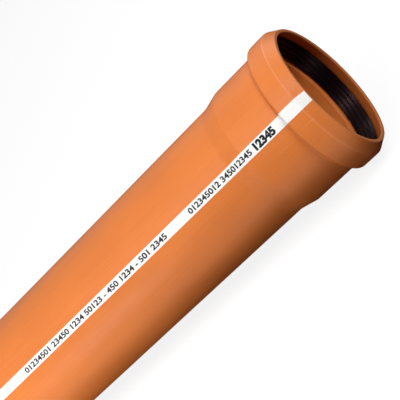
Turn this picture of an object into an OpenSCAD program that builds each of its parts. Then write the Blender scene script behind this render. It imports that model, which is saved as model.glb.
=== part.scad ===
// Drain pipe with a formed socket and a rubber lip seal.
// The axis lies along X with the mouth towards +X. The origin is on the axis at the
// socket's stop, where the plain end of the next pipe comes to rest.

/* [Pipe] */
// Outer diameter of the barrel
pipe_od = 110; // [75:5:200]
// Wall thickness of the barrel and of the formed socket
pipe_wall = 3.2; // [2.2:0.1:4.5]
// Laying length, from the plain end to the stop in the socket
laying_len = 500; // [250:10:3000]
// Wall that the chamfer leaves at the plain end
end_wall = 1.6; // [0.8:0.1:2]
// Angle of that chamfer to the axis
chamfer_angle = 15; // [10:1:45]

/* [Socket] */
// Room on the radius round the pipe that is pushed in
socket_gap = 0.3; // [0.1:0.05:0.6]
// Straight bore of the socket, from the stop to the ring groove
socket_bore_len = 44; // [30:0.5:90]
// Length over which the barrel widens into the socket
taper_len = 15.6; // [8:0.2:30]
// How far the ring groove stands out from the socket's bore
groove_rise = 5.05; // [4:0.05:8]
// Length of the shoulder behind the groove
shoulder_len = 2.8; // [2.4:0.1:8]
// Width of the groove's floor
groove_width = 13.4; // [11:0.1:22]
// Length of the cone that closes the groove in front
cone_len = 8.3; // [6.5:0.1:16]
// Straight lip at the mouth
mouth_len = 1.5; // [1.2:0.1:6]
// Wall at the mouth's trimmed edge
rim_wall = 2.8; // [1.8:0.1:4]

/* [Edges] */
// Radius of the bends at the shoulder and the groove
bend_r = 2; // [0.5:0.1:3]
// Radius of the two bends of the taper
taper_bend_r = 12; // [2:1:12]
// Radius of the sawn and trimmed edges
trim_r = 0.5; // [0.2:0.1:0.8]
// Pieces in each rounded corner
bend_steps = 4; // [2:1:8]

/* [Sealing ring] */
// Room between the ring and the walls of its groove
ring_gap = 0.1; // [0.05:0.05:0.3]
// Room on the radius between the lip's edge and a pipe in the socket
lip_gap = 0.1; // [0.05:0.05:0.25]
// Thickness of the ring's body on the groove's floor
ring_body = 1.6; // [1.2:0.1:2]
// Thickness of the lip at its edge
lip_edge = 0.9; // [0.6:0.1:1.2]
// Thickness of the lip at its root, where the slot behind it ends
lip_root = 1.2; // [0.8:0.1:1.6]
// How far the lip's edge stops short of the groove's back corner
lip_back = 0.5; // [0.3:0.1:3]
// How far the ring's heel reaches onto the cone, along the axis
heel_len = 1; // [0.5:0.1:4]
// Number of ridges round the lip
ridge_count = 3; // [2:1:4]
// Height of a ridge
ridge_h = 0.3; // [0.2:0.05:0.5]
// Width of a ridge
ridge_w = 1.1; // [0.8:0.1:2]

/* [Hidden] */
$fn = 96;

pipe_r = pipe_od / 2;
bore_r = pipe_r - pipe_wall;
socket_r = pipe_r + socket_gap;
groove_r = socket_r + groove_rise;
cone_angle = atan(groove_rise / cone_len);
shoulder_angle = atan(groove_rise / shoulder_len);
taper_angle = atan((socket_r - bore_r) / taper_len);

// Places along the axis, on the inside of the wall
plain_end_x = -laying_len;
stop_x = 0;
bore_end_x = stop_x + socket_bore_len;
groove_back_x = bore_end_x + shoulder_len;
groove_front_x = groove_back_x + groove_width;
cone_end_x = groove_front_x + cone_len;
mouth_x = cone_end_x + mouth_len;
taper_foot_x = stop_x - taper_len;
chamfer_len = (pipe_wall - end_wall) / tan(chamfer_angle);

// Shift along the axis between the inner and the outer corner of a bend
function miter(angle) = pipe_wall * tan(angle / 2);

// Points of an arc of radius r in the corner b of the path a, b, c
function corner(a, b, c, r) =
    let (
        to_a = (a - b) / norm(a - b),
        to_c = (c - b) / norm(c - b),
        half = acos(to_a * to_c) / 2,
        middle = (to_a + to_c) / norm(to_a + to_c),
        centre = b + middle * r / sin(half),
        start = b + to_a * r / tan(half) - centre,
        end = b + to_c * r / tan(half) - centre
    )
    [for (i = [0 : bend_steps])
        let (
            t = i / bend_steps,
            ray = start * (1 - t) + end * t
        )
        centre + ray * r / norm(ray)];

// Closed outline whose corners, given as [radius, place along the axis, rounding], are rounded
function rounded(path) =
    let (n = len(path))
    [for (i = [0 : n - 1])
        let (
            a = path[(i + n - 1) % n],
            b = path[i],
            c = path[(i + 1) % n]
        )
        each (b[2] > 0
            ? corner([a[0], a[1]], [b[0], b[1]], [c[0], c[1]], b[2])
            : [[b[0], b[1]]])];

// Turns an outline of [radius, place along the axis] round the X axis
module turned(outline) {
    rotate([0, 90, 0]) rotate_extrude() polygon(outline);
}

module pipe() {
    inner_bend = max(bend_r - pipe_wall, trim_r);
    outer = [
        [bore_r + end_wall, plain_end_x, trim_r / 2],
        [pipe_r, plain_end_x + chamfer_len, trim_r],
        [pipe_r, taper_foot_x - miter(taper_angle), taper_bend_r],
        [socket_r + pipe_wall, stop_x - miter(taper_angle), taper_bend_r],
        [socket_r + pipe_wall, bore_end_x - miter(shoulder_angle), bend_r],
        [groove_r + pipe_wall, groove_back_x - miter(shoulder_angle), bend_r],
        [groove_r + pipe_wall, groove_front_x + miter(cone_angle), bend_r],
        [socket_r + rim_wall, mouth_x, trim_r]
    ];
    inner = [
        [socket_r, mouth_x, trim_r],
        [socket_r, cone_end_x, trim_r],
        [groove_r, groove_front_x, inner_bend],
        [groove_r, groove_back_x, inner_bend],
        [socket_r, bore_end_x, bend_r],
        [socket_r, stop_x, 0],
        [bore_r, taper_foot_x, taper_bend_r],
        [bore_r, plain_end_x, trim_r / 2]
    ];
    color("#DC7A38") turned(rounded(concat(outer, inner)));
}

module sealing_ring() {
    floor_r = groove_r - ring_gap;
    lip_r = pipe_r + lip_gap;
    back_x = groove_back_x + ring_gap;
    lip_x = groove_back_x + lip_back;
    heel_x = groove_front_x + heel_len;
    heel_r = floor_r - heel_len * tan(cone_angle);
    lip_slope = (heel_r - lip_r) / (heel_x - lip_x);
    slot_r = floor_r - ring_body;
    slot_x = lip_x + (slot_r - lip_root - lip_r) / lip_slope;

    // Radius of the lip's inner face at a place along the axis
    function face_r(x) = lip_r + (x - lip_x) * lip_slope;

    ridge_pitch = (heel_x - lip_x) / (ridge_count + 1);
    ridges = [for (i = [ridge_count : -1 : 1])
        let (x = lip_x + i * ridge_pitch)
        each [
            [face_r(x + ridge_w / 2), x + ridge_w / 2, 0],
            [face_r(x) - ridge_h, x, ridge_h / 2],
            [face_r(x - ridge_w / 2), x - ridge_w / 2, 0]
        ]];
    outline = concat(
        [
            [floor_r, back_x, lip_edge / 3],
            [floor_r, groove_front_x, 0],
            [heel_r, heel_x, lip_edge / 3]
        ],
        ridges,
        [
            [lip_r, lip_x, lip_edge / 3],
            [lip_r + lip_edge, lip_x, lip_edge / 3],
            [slot_r, slot_x, 0],
            [slot_r, back_x, lip_edge / 3]
        ]
    );
    color("#1C1B1D") turned(rounded(outline));
}

pipe();
sealing_ring();
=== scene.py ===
"""Looks of a plastic drain pipe that lies on a pale studio floor.

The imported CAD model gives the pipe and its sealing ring. This script adds their surface
finishes, the white line and the black print along the barrel, the floor, the lights and
the camera. Everything is in metres, in the CAD model's frame: the axis lies along X, with
the mouth at +X. Sizes inside a finish are in mm.
"""

import math

import bmesh
import bpy
from mathutils import Matrix, Vector
from mathutils.bvhtree import BVHTree

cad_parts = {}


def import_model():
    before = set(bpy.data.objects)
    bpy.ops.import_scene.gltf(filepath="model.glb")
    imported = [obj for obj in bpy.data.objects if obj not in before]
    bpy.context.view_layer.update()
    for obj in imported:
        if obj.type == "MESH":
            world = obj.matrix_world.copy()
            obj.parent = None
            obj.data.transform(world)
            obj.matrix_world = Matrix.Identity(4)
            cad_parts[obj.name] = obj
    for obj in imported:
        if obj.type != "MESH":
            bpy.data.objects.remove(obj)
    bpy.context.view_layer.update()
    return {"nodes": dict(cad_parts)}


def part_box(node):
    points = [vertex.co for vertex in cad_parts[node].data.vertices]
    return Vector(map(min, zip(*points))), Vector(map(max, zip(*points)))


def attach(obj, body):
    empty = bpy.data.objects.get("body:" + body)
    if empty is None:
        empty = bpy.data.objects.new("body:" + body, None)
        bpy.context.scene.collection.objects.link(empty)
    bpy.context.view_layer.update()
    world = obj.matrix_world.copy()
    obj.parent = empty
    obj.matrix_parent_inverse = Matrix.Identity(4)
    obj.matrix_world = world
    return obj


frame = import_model()

MM = 0.001

# ---------------------------------------------------------------- places on the pipe

PIPE = frame["nodes"]["pipe"]
RING = frame["nodes"]["sealing_ring"]
PLAIN_END_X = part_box("pipe")[0].x
MOUTH_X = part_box("pipe")[1].x
FLOOR_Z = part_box("pipe")[0].z
BEAD_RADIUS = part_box("pipe")[1].z

# The plain end's chamfer along the pipe, and where the barrel starts to widen
CHAMFER = 6.0 * MM
TAPER_FOOT_X = -18.0 * MM

# The cone in front of the socket's bead, in mm: where its inside starts, the bead's corner
# outside, and how much the cone's radius falls for each mm along the pipe
CONE_START = 60.2
BEAD_CORNER = 61.1
CONE_FALL = 5.05 / 8.3

# The white line lies at this angle round the axis from straight up, towards -Y. Line and
# print lie just above the pipe's skin, their edges reach into it, and the line stops short
# of the rim
LINE_ANGLE = math.radians(54)
LINE_WIDTH = 10.0 * MM
LINE_LIFT = 0.05 * MM
PRINT_LIFT = 0.1 * MM
INK_EDGE = 0.2 * MM
RIM_GAP = 0.3 * MM

# How finely the ink's meshes are divided: along the straight barrel, along the bends of the
# socket, and over the width of the line and the print
BARREL_PITCH = 10 * MM
BEND_PITCH = 0.5 * MM
INK_PITCH = 1 * MM

# The print: plain numbers, where they start and end along the pipe and their height, in mm,
# and how much bolder than the font they are
PRINT = [
    ("01234501 23450 1234 50123 - 450 1234", -488, -346, 5.0, 0.03),
    ("01234501 23450 1234 50123 - 450 1234 - 501 2345", -280, -94, 5.0, 0.03),
    ("012345012 345012345", -66, 7.6, 5.0, 0.03),
    ("12345", 11.5, 33, 7.0, 0.06),
]


# ---------------------------------------------------------------- colours and nodes


def linear(colour):
    """An sRGB hex colour as the linear RGBA that shaders take."""
    parts = [int(colour[i : i + 2], 16) / 255 for i in (1, 3, 5)]
    rgb = [p / 12.92 if p <= 0.04045 else ((p + 0.055) / 1.055) ** 2.4 for p in parts]
    return (*rgb, 1.0)


def add(tree, kind, inputs, **settings):
    """Adds a shader node with its settings and links.

    An input is a value, a socket, or a node whose result feeds it.
    """
    node = tree.nodes.new("ShaderNode" + kind)
    for name, value in settings.items():
        setattr(node, name, value)
    for name, value in inputs.items():
        if isinstance(value, bpy.types.Node):
            value = next(socket for socket in value.outputs if socket.enabled)
        if isinstance(value, bpy.types.NodeSocket):
            tree.links.new(value, node.inputs[name])
        else:
            node.inputs[name].default_value = value
    return node


def new_material(name):
    """A material without nodes, and its tree."""
    material = bpy.data.materials.new(name)
    material.use_nodes = True
    material.node_tree.nodes.clear()
    return material, material.node_tree


def place_mm(tree, along=1.0):
    """The place on the object in mm, its X multiplied by along.

    Under 1 this draws a pattern out along the pipe, and over 1 it shortens it.
    """
    place = add(tree, "TexCoord", {}).outputs["Object"]
    scale = (along / MM, 1 / MM, 1 / MM)
    return add(tree, "VectorMath", {0: place, 1: scale}, operation="MULTIPLY")


def finish(tree, relief, surface):
    """The surface itself: its layers of relief, and its shader's inputs.

    A layer is a height from 0 to 1, and how many mm a height of 1 stands up.
    """
    for height, rise in relief:
        inputs = {"Height": height, "Strength": 1.0, "Distance": rise * MM}
        if "Normal" in surface:
            inputs["Normal"] = surface["Normal"]
        surface["Normal"] = add(tree, "Bump", inputs)
    add(tree, "OutputMaterial", {"Surface": add(tree, "BsdfPrincipled", surface)})


def by_ray(tree, seen, in_gloss, unseen):
    """One shader for what is looked at, one for what shows in gloss, one for other light."""
    path = add(tree, "LightPath", {})
    looked_at = add(
        tree, "Math",
        {0: path.outputs["Is Camera Ray"], 1: path.outputs["Is Transmission Ray"]},
        operation="MAXIMUM",
    )
    rest = add(
        tree, "MixShader", {"Fac": path.outputs["Is Glossy Ray"], 1: unseen, 2: in_gloss}
    )
    return add(tree, "MixShader", {"Fac": looked_at, 1: rest, 2: seen})


# Settings of a mask that goes over softly, and of a mix of two colours with its sockets
SOFT = {"interpolation_type": "SMOOTHSTEP"}
COLOURS = {"data_type": "RGBA"}
FIRST, LAST = 6, 7

WHITE = linear("#FFFFFF")


# ---------------------------------------------------------------- finishes


def extruded_pvc():
    """Unplasticised PVC, drawn hot through a die: a satin orange skin with faint lines.

    The cloudy shade and the die lines along the pipe break up the long highlight. The sharp
    bend in front of the socket's bead is a little paler where the stretch whitened it, and
    that pale line is also a painted highlight along its corner. Painted shade darkens the
    cone's inside beside the ring. Where the pipe was sawn, chamfered or trimmed the skin is
    gone: those faces are duller and show the tool's fine rings. The die lines and the grain
    are finer on a real pipe. Here they are as coarse as they need to be to show.
    """
    material, tree = new_material("extruded_pvc")
    cloud_width, die_line_width, rub_width, patch_width = 26, 1.3, 1.6, 60
    # Widths of the pale corner line, partly a painted highlight, and of the painted shade beside
    # the ring
    corner_line_width, shade_width = 0.8, 3.0
    grain_width, wave_width, fine_width, saw_ring_width = 0.8, 14, 0.35, 0.22

    place = place_mm(tree)
    parts = add(tree, "SeparateXYZ", {0: place})
    along = parts.outputs["X"]
    flat = add(tree, "CombineXYZ", {"Y": parts.outputs["Y"], "Z": parts.outputs["Z"]})
    radius = add(tree, "VectorMath", {0: flat}, operation="LENGTH")

    # Skin: clouds drawn out along the pipe, and die lines that run on for about 100 mm
    cloud = add(
        tree, "TexNoise",
        {"Vector": place_mm(tree, along=0.4), "Scale": 1 / cloud_width, "Detail": 3.0},
    )
    clouded = add(
        tree, "MapRange", {"Value": cloud, "From Min": 0.3, "From Max": 0.7}, **SOFT
    )
    lines = add(
        tree, "TexNoise",
        {"Vector": place_mm(tree, along=0.012), "Scale": 1 / die_line_width, "Detail": 3.0},
    )
    lined = add(
        tree, "MapRange",
        {"Value": lines, "From Min": 0.35, "From Max": 0.75, "To Max": 0.35}, **SOFT
    )
    skin = add(
        tree, "Mix",
        {"Factor": clouded, FIRST: linear("#DB7939"), LAST: linear("#E37F3B")}, **COLOURS
    )
    skin = add(
        tree, "Mix", {"Factor": lined, FIRST: skin, LAST: linear("#E88642")}, **COLOURS
    )

    # Handling marks: sparse rubs about 20 mm long, a little paler and duller
    rub = add(
        tree, "TexNoise",
        {"Vector": place_mm(tree, along=0.07), "Scale": 1 / rub_width, "Detail": 1.0},
    )
    rubbed = add(
        tree, "MapRange", {"Value": rub, "From Min": 0.68, "From Max": 0.76}, **SOFT
    )
    patch = add(
        tree, "TexNoise", {"Vector": place, "Scale": 1 / patch_width, "Detail": 1.0}
    )
    handled = add(
        tree, "MapRange", {"Value": patch, "From Min": 0.54, "From Max": 0.64}, **SOFT
    )
    worn = add(tree, "Math", {0: rubbed, 1: handled}, operation="MULTIPLY")
    paler = add(tree, "Math", {0: worn, 1: 0.2}, operation="MULTIPLY")
    skin = add(
        tree, "Mix", {"Factor": paler, FIRST: skin, LAST: linear("#F2B487")}, **COLOURS
    )

    # The bead's front corner outside: paler where the bend was drawn thin, and a painted
    # highlight along it
    off = add(tree, "Math", {0: along, 1: BEAD_CORNER}, operation="SUBTRACT")
    off = add(tree, "Math", {0: off}, operation="ABSOLUTE")
    near = add(
        tree, "MapRange",
        {
            "Value": off, "From Min": 0.1, "From Max": corner_line_width,
            "To Min": 0.22, "To Max": 0.0,
        },
        **SOFT
    )
    outside = add(
        tree, "MapRange", {"Value": radius, "From Min": 61.0, "From Max": 61.6}, **SOFT
    )
    pale_corner_and_highlight = add(tree, "Math", {0: near, 1: outside}, operation="MULTIPLY")
    # Pale pink over the corner: partly the whitened bend, partly a painted highlight
    skin = add(
        tree, "Mix", {"Factor": pale_corner_and_highlight, FIRST: skin, LAST: linear("#F4B08C")}, **COLOURS
    )

    # Painted shade on the inside of the cone, darkest beside the ring. The radius, led
    # back along the cone to its start, is about 60.4 all over its inside and 64.1 outside
    back = add(tree, "Math", {0: along, 1: -CONE_START}, operation="ADD")
    led_back = add(
        tree, "Math", {0: back, 1: CONE_FALL, 2: radius}, operation="MULTIPLY_ADD"
    )
    inside = add(
        tree, "MapRange",
        {
            "Value": led_back, "From Min": 61.6, "From Max": 62.6,
            "To Min": 1.0, "To Max": 0.0,
        },
        **SOFT
    )
    shade_start = CONE_START + 0.4
    beside = add(
        tree, "MapRange",
        {
            "Value": along, "From Min": shade_start, "From Max": shade_start + shade_width,
            "To Min": 0.65, "To Max": 0.0,
        },
        **SOFT
    )
    past = add(tree, "Math", {0: along, 1: CONE_START - 0.2}, operation="GREATER_THAN")
    painted_shade = add(tree, "Math", {0: inside, 1: beside}, operation="MULTIPLY")
    painted_shade = add(tree, "Math", {0: painted_shade, 1: past}, operation="MULTIPLY")
    # Dark brown painted over the skin beside the ring as shade
    skin = add(
        tree, "Mix", {"Factor": painted_shade, FIRST: skin, LAST: linear("#54200E")}, **COLOURS
    )

    # Cut faces: the rim's end, and at the plain end the sawn face and its chamfer
    rim = MOUTH_X / MM
    trimmed = add(
        tree, "MapRange",
        {"Value": along, "From Min": rim - 0.5, "From Max": rim - 0.25}, **SOFT
    )
    chamfer_end = (PLAIN_END_X + CHAMFER) / MM
    sawn = add(
        tree, "MapRange",
        {
            "Value": along, "From Min": chamfer_end - 0.1, "From Max": chamfer_end,
            "To Min": 1.0, "To Max": 0.0,
        },
        **SOFT
    )
    wall = add(
        tree, "MapRange", {"Value": radius, "From Min": 52.0, "From Max": 52.2}, **SOFT
    )
    sawn = add(tree, "Math", {0: sawn, 1: wall}, operation="MULTIPLY")
    cut = add(tree, "Math", {0: trimmed, 1: sawn}, operation="MAXIMUM")
    grain = add(
        tree, "TexNoise", {"Vector": place, "Scale": 1 / grain_width, "Detail": 3.0}
    )
    bare = add(
        tree, "Mix",
        {"Factor": grain, FIRST: linear("#CC743F"), LAST: linear("#DE925C")}, **COLOURS
    )
    colour = add(tree, "Mix", {"Factor": cut, FIRST: skin, LAST: bare}, **COLOURS)

    # Relief: a slight waviness, the die lines, a fine grain, the rubs and the saw's rings
    wavy = add(
        tree, "TexNoise",
        {"Vector": place_mm(tree, along=0.25), "Scale": 1 / wave_width, "Detail": 1.0},
    )
    fine = add(
        tree, "TexNoise", {"Vector": place, "Scale": 1 / fine_width, "Detail": 2.0}
    )
    ring = add(tree, "CombineXYZ", {"X": radius})
    rings = add(
        tree, "TexNoise", {"Vector": ring, "Scale": 1 / saw_ring_width, "Detail": 2.0}
    )
    turned = add(tree, "Math", {0: rings, 1: cut}, operation="MULTIPLY")

    satin = add(
        tree, "MapRange",
        {
            "Value": cloud, "From Min": 0.3, "From Max": 0.7,
            "To Min": 0.38, "To Max": 0.44,
        },
        **SOFT
    )
    satin = add(tree, "Math", {0: worn, 1: 0.12, 2: satin}, operation="MULTIPLY_ADD")
    dull = add(tree, "Math", {0: cut, 1: 0.55}, operation="MULTIPLY")
    gloss = add(tree, "Math", {0: satin, 1: dull}, operation="MAXIMUM")
    finish(
        tree,
        [(wavy, 0.05), (lines, 0.012), (fine, 0.004), (worn, -0.01), (turned, 0.03)],
        {"Base Color": colour, "Roughness": gloss, "IOR": 1.53},
    )
    return material


def moulded_rubber():
    """EPDM rubber from a polished mould: black with a soft sheen and a thin violet bloom.

    The bloom is rubbed off in streaks round the ring, so its ridges catch the light
    unevenly. The sheen's pink tint is a painted reflection of the orange socket round it.
    """
    material, tree = new_material("moulded_rubber")
    # Each streak is nine times as long round the ring as it is wide along the pipe
    streak_length, slimness, grain_width = 12, 9.0, 0.5

    streak = add(
        tree, "TexNoise",
        {"Vector": place_mm(tree, along=slimness), "Scale": 1 / streak_length, "Detail": 3.0},
    )
    bloom = add(
        tree, "MapRange", {"Value": streak, "From Min": 0.45, "From Max": 0.7}, **SOFT
    )
    colour = add(
        tree, "Mix",
        {"Factor": bloom, FIRST: linear("#060204"), LAST: linear("#10060A")}, **COLOURS
    )
    gloss = add(
        tree, "MapRange",
        {
            "Value": streak, "From Min": 0.35, "From Max": 0.65,
            "To Min": 0.36, "To Max": 0.22,
        },
        **SOFT
    )
    grain = add(
        tree, "TexNoise",
        {"Vector": place_mm(tree), "Scale": 1 / grain_width, "Detail": 2.0},
    )
    finish(
        tree,
        [(grain, 0.01)],
        {
            "Base Color": colour, "Roughness": gloss, "IOR": 1.52,
            # The pink specular tint paints in the orange walls' light reflected in the ring
            "Specular IOR Level": 0.28, "Specular Tint": linear("#E8B4BC"),
        },
    )
    return material


def rolled_ink():
    """White marking ink, rolled on: matt, with a few pinholes that let the orange through."""
    material, tree = new_material("rolled_ink")
    cloud_width, pinhole_pitch, grain_width = 9, 0.7, 0.5

    place = place_mm(tree)
    cloud = add(
        tree, "TexNoise",
        {"Vector": place_mm(tree, along=0.2), "Scale": 1 / cloud_width, "Detail": 2.0},
    )
    cloud = add(
        tree, "MapRange", {"Value": cloud, "From Min": 0.3, "From Max": 0.7}, **SOFT
    )
    tone = add(
        tree, "Mix",
        {"Factor": cloud, FIRST: linear("#F7F6F2"), LAST: linear("#FCFBF9")}, **COLOURS
    )
    pinhole = add(
        tree, "TexNoise", {"Vector": place, "Scale": 1 / pinhole_pitch, "Detail": 1.0}
    )
    pinhole = add(
        tree, "MapRange",
        {"Value": pinhole, "From Min": 0.74, "From Max": 0.78, "To Max": 0.5}, **SOFT
    )
    colour = add(
        tree, "Mix", {"Factor": pinhole, FIRST: tone, LAST: linear("#E9A676")}, **COLOURS
    )
    grain = add(
        tree, "TexNoise", {"Vector": place, "Scale": 1 / grain_width, "Detail": 2.0}
    )
    finish(
        tree,
        [(grain, 0.01)],
        {"Base Color": colour, "Roughness": 0.5, "IOR": 1.5, "Specular IOR Level": 0.4},
    )
    return material


def jetted_ink():
    """Black marking ink, jetted on: matt and blue-black, thinner here and there."""
    material, tree = new_material("jetted_ink")
    thin_width, grain_width = 0.9, 0.4

    place = place_mm(tree)
    thin = add(
        tree, "TexNoise", {"Vector": place, "Scale": 1 / thin_width, "Detail": 2.0}
    )
    thin = add(
        tree, "MapRange", {"Value": thin, "From Min": 0.4, "From Max": 0.75}, **SOFT
    )
    colour = add(
        tree, "Mix",
        {"Factor": thin, FIRST: linear("#10151D"), LAST: linear("#39404A")}, **COLOURS
    )
    grain = add(
        tree, "TexNoise", {"Vector": place, "Scale": 1 / grain_width, "Detail": 1.0}
    )
    finish(
        tree,
        [(grain, 0.01)],
        {"Base Color": colour, "Roughness": 0.55, "IOR": 1.5, "Specular IOR Level": 0.3},
    )
    return material


def studio_paper():
    """Matt paper: white with a soft shadow where it is seen, grey where it throws light back.

    In gloss a band of it shows white, in front of the pipe and out of its shade, which makes
    the soft highlight low on the pipe's side.
    """
    material, tree = new_material("studio_paper")
    # In metres along Y: the middle of the band, how far from there it is full, and gone
    band_y, band_full, band_gone = -0.21, 0.09, 0.14

    place = add(tree, "SeparateXYZ", {0: add(tree, "TexCoord", {}).outputs["Object"]})
    off = add(tree, "Math", {0: place.outputs["Y"], 1: band_y}, operation="SUBTRACT")
    off = add(tree, "Math", {0: off}, operation="ABSOLUTE")
    in_band = add(
        tree, "MapRange",
        {
            "Value": off, "From Min": band_full, "From Max": band_gone,
            "To Min": 1.0, "To Max": 0.0,
        },
        **SOFT
    )
    paper = add(tree, "BsdfDiffuse", {"Color": linear("#7A7A7A")})
    glow = add(tree, "Emission", {"Color": WHITE, "Strength": 0.86})
    white = add(tree, "AddShader", {0: paper, 1: glow})
    grey = add(tree, "BsdfDiffuse", {"Color": linear("#5A4E50")})
    band = add(tree, "Emission", {"Color": WHITE, "Strength": in_band})
    add(tree, "OutputMaterial", {"Surface": by_ray(tree, white, band, grey)})
    return material


# ---------------------------------------------------------------- line and print


def out_from_axis(angle):
    """The way out from the axis at an angle from straight up, towards -Y."""
    return Vector((0, -math.sin(angle), math.cos(angle)))


WALL = BVHTree.FromPolygons(
    [v.co for v in PIPE.data.vertices], [p.vertices for p in PIPE.data.polygons]
)


def on_wall(x, angle, lift):
    """The point a little above the pipe's outside, at a place along it and an angle round it."""
    out = out_from_axis(angle)
    reach = 0.1
    place, normal, _, _ = WALL.ray_cast(Vector((x, 0, 0)) + out * reach, -out)
    return place + normal * lift


def steps(first, last, pitch):
    """Evenly spaced values from first to last, no more than a pitch apart."""
    count = max(1, math.ceil((last - first) / pitch))
    return [first + (last - first) * i / count for i in range(count + 1)]


def laid_on(name, mesh, material):
    """A piece of ink that rides on the pipe: its open edges are turned down into the wall.

    The edges are turned down one by one, in their own order, so that the mesh is stored in
    the same order each time.
    """
    made = bmesh.new()
    made.from_mesh(mesh)
    turned_down = {}
    for edge in [e for e in made.edges if e.is_boundary]:
        loop = edge.link_loops[0]
        first, last = loop.vert, loop.link_loop_next.vert
        for v in (first, last):
            if v not in turned_down:
                shrink = 1 - INK_EDGE / math.hypot(v.co.y, v.co.z)
                foot = (v.co.x, v.co.y * shrink, v.co.z * shrink)
                turned_down[v] = made.verts.new(foot)
        corners = (last, first, turned_down[first], turned_down[last])
        made.faces.new(corners, loop.face)
    made.to_mesh(mesh)
    made.free()
    mesh.materials.append(material)
    piece = bpy.data.objects.new(name, mesh)
    bpy.context.scene.collection.objects.link(piece)
    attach(piece, "root")


def white_line():
    """The white line, from the plain end's chamfer to the rim."""
    start = PLAIN_END_X + CHAMFER
    end = MOUTH_X - RIM_GAP
    barrel = steps(start, TAPER_FOOT_X, BARREL_PITCH)[:-1]
    rows = barrel + steps(TAPER_FOOT_X, end, BEND_PITCH)
    half = LINE_WIDTH / BEAD_RADIUS / 2
    turns = steps(LINE_ANGLE - half, LINE_ANGLE + half, INK_PITCH / BEAD_RADIUS)
    points = [on_wall(x, a, LINE_LIFT) for x in rows for a in turns]
    wide = len(turns)
    faces = [
        (r * wide + c, r * wide + c + 1, (r + 1) * wide + c + 1, (r + 1) * wide + c)
        for r in range(len(rows) - 1)
        for c in range(wide - 1)
    ]
    mesh = bpy.data.meshes.new("white_line")
    mesh.from_pydata(points, [], faces)
    laid_on("white_line", mesh, rolled_ink())


def flat_text(text, weight):
    """A line of text as a flat mesh."""
    curve = bpy.data.curves.new("print", "FONT")
    curve.body = text
    curve.offset = weight
    shown = bpy.data.objects.new("print", curve)
    bpy.context.scene.collection.objects.link(shown)
    evaluated = shown.evaluated_get(bpy.context.evaluated_depsgraph_get())
    mesh = bpy.data.meshes.new_from_object(evaluated)
    bpy.data.objects.remove(shown)
    bpy.data.curves.remove(curve)
    return mesh


def printed(name, text, start, end, height, weight, ink):
    """Text printed on the white line between two places, its top towards the pipe's top."""
    mesh = flat_text(text, weight)
    flat = bmesh.new()
    flat.from_mesh(mesh)
    xs = [v.co.x for v in flat.verts]
    ys = [v.co.y for v in flat.verts]
    low = Vector((min(xs), min(ys), 0))
    size = Vector((max(xs), max(ys), 0)) - low
    for v in flat.verts:
        across = (v.co.x - low.x) / size.x
        up = (v.co.y - low.y) / size.y
        v.co = (start + (end - start) * across, height * (up - 0.5), 0)
    for axis, first, last in (((1, 0, 0), start, end), ((0, 1, 0), -height / 2, height / 2)):
        way = Vector(axis)
        for cut in steps(first, last, INK_PITCH)[1:-1]:
            whole = flat.verts[:] + flat.edges[:] + flat.faces[:]
            bmesh.ops.bisect_plane(flat, geom=whole, plane_co=way * cut, plane_no=way)
    for v in flat.verts:
        radius = math.hypot(*on_wall(v.co.x, LINE_ANGLE, 0).yz)
        v.co = on_wall(v.co.x, LINE_ANGLE - v.co.y / radius, PRINT_LIFT)
    flat.to_mesh(mesh)
    flat.free()
    laid_on(name, mesh, ink)


# ---------------------------------------------------------------- studio

FLOOR_WIDTH = 12.0

# The faint light from all round, and how bright the backdrop shows in gloss: dim low in
# front of the pipe and bright high behind it, told by a direction's Y and Z added up
EVEN_LIGHT = 0.02
DIM, BRIGHT = 0.05, 0.42
DIM_WAY, BRIGHT_WAY = -0.4, 1.0

# The camera: the point it looks at and how far away it stands, in mm, where it stands round
# the pipe and how far it is rolled, in degrees, and its sensor and lens in mm
CAMERA_AIM = (-77.0, 3.26, 5.65)
CAMERA_DISTANCE = 993.73
CAMERA_AZIMUTH, CAMERA_ELEVATION = 28.0138, 27.0082
CAMERA_ROLL = -57.9065
SENSOR_WIDTH, LENS = 36, 109.3


def floor():
    """A flat floor that the pipe lies on."""
    half = FLOOR_WIDTH / 2
    corners = ((-half, -half), (half, -half), (half, half), (-half, half))
    mesh = bpy.data.meshes.new("floor")
    mesh.from_pydata([(x, y, FLOOR_Z) for x, y in corners], [], [(0, 1, 2, 3)])
    made = bpy.data.objects.new("floor", mesh)
    bpy.context.scene.collection.objects.link(made)
    mesh.materials.append(studio_paper())


def around(azimuth, elevation):
    """Unit vector from the object to a place round it: azimuth 0 is at -Y, 90 at +X."""
    a, e = math.radians(azimuth), math.radians(elevation)
    return Vector((math.sin(a) * math.cos(e), -math.cos(a) * math.cos(e), math.sin(e)))


def soft_box(name, azimuth, elevation, size, power, distance=1.5, aim=(-0.1, 0, 0)):
    """A square soft light that looks at the pipe near its mouth, and isn't seen itself.

    Angles are in degrees, size, distance and aim in metres, and power in watts.
    """
    data = bpy.data.lights.new(name, "AREA")
    data.shape = "SQUARE"
    data.size = size
    data.energy = power
    made = bpy.data.objects.new(name, data)
    bpy.context.scene.collection.objects.link(made)
    back = around(azimuth, elevation)
    made.location = Vector(aim) + back * distance
    made.rotation_mode = "QUATERNION"
    made.rotation_quaternion = (-back).to_track_quat("-Z", "Y")
    made.visible_camera = False
    return made


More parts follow.
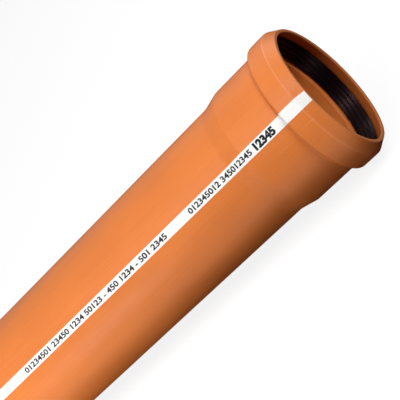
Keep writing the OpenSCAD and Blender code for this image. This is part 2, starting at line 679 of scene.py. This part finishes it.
def camera():
    """The view of the mouth end, rolled so that the pipe rises to the upper right."""
    data = bpy.data.cameras.new("camera")
    data.sensor_width = SENSOR_WIDTH
    data.lens = LENS
    made = bpy.data.objects.new("camera", data)
    bpy.context.scene.collection.objects.link(made)
    back = around(CAMERA_AZIMUTH, CAMERA_ELEVATION)
    made.location = Vector(CAMERA_AIM) * MM + back * CAMERA_DISTANCE * MM
    turn = (-back).to_track_quat("-Z", "Y").to_matrix()
    roll = Matrix.Rotation(math.radians(CAMERA_ROLL), 3, "Z")
    made.rotation_mode = "QUATERNION"
    made.rotation_quaternion = (turn @ roll).to_quaternion()
    bpy.context.scene.camera = made


def world():
    """Faint light from all round; where it is seen it is a white backdrop.

    In gloss it is dimmer, and brightest above and behind the pipe.
    """
    made = bpy.data.worlds.new("studio")
    made.use_nodes = True
    tree = made.node_tree
    tree.nodes.clear()
    way = add(tree, "SeparateXYZ", {0: add(tree, "TexCoord", {}).outputs["Generated"]})
    behind = add(tree, "Math", {0: way.outputs["Y"], 1: way.outputs["Z"]}, operation="ADD")
    backdrop = add(
        tree, "MapRange",
        {
            "Value": behind, "From Min": DIM_WAY, "From Max": BRIGHT_WAY,
            "To Min": DIM, "To Max": BRIGHT,
        },
        **SOFT
    )
    even = add(tree, "Background", {"Color": WHITE, "Strength": EVEN_LIGHT})
    in_gloss = add(tree, "Background", {"Color": WHITE, "Strength": backdrop})
    white = add(tree, "Background", {"Color": WHITE, "Strength": 1.0})
    add(tree, "OutputWorld", {"Surface": by_ray(tree, white, in_gloss, even)})
    bpy.context.scene.world = made


# ---------------------------------------------------------------- the scene


def dress(node, material):
    """Gives a CAD node its finish."""
    node.data.materials.clear()
    node.data.materials.append(material)


dress(PIPE, extruded_pvc())
dress(RING, moulded_rubber())
white_line()
ink = jetted_ink()
for number, (text, start, end, height, weight) in enumerate(PRINT, 1):
    printed(f"print_{number}", text, start * MM, end * MM, height * MM, weight, ink)

floor()
world()
# The key, mouth, top and low lamps stay out of the pipe's gloss, and the sheen shows only
# there. The low lamp lights the side under the white line
soft_box("key", -14, 55, 0.6, 11.7).visible_glossy = False
soft_box("mouth", 69, 37, 0.5, 8.7).visible_glossy = False
soft_box("glint", 64, 53, 0.2, 3.6)
soft_box("top", -90, 70, 0.6, 1.6).visible_glossy = False
soft_box("back", 165, 42, 0.9, 5.2)
soft_box("sheen", -41, 52, 0.5, 1.2).visible_diffuse = False
soft_box("low", 0, 0, 0.2, 1.2, distance=0.4, aim=(-0.4, 0, 0)).visible_glossy = False
camera()
bpy.context.scene.view_settings.view_transform = "Standard"
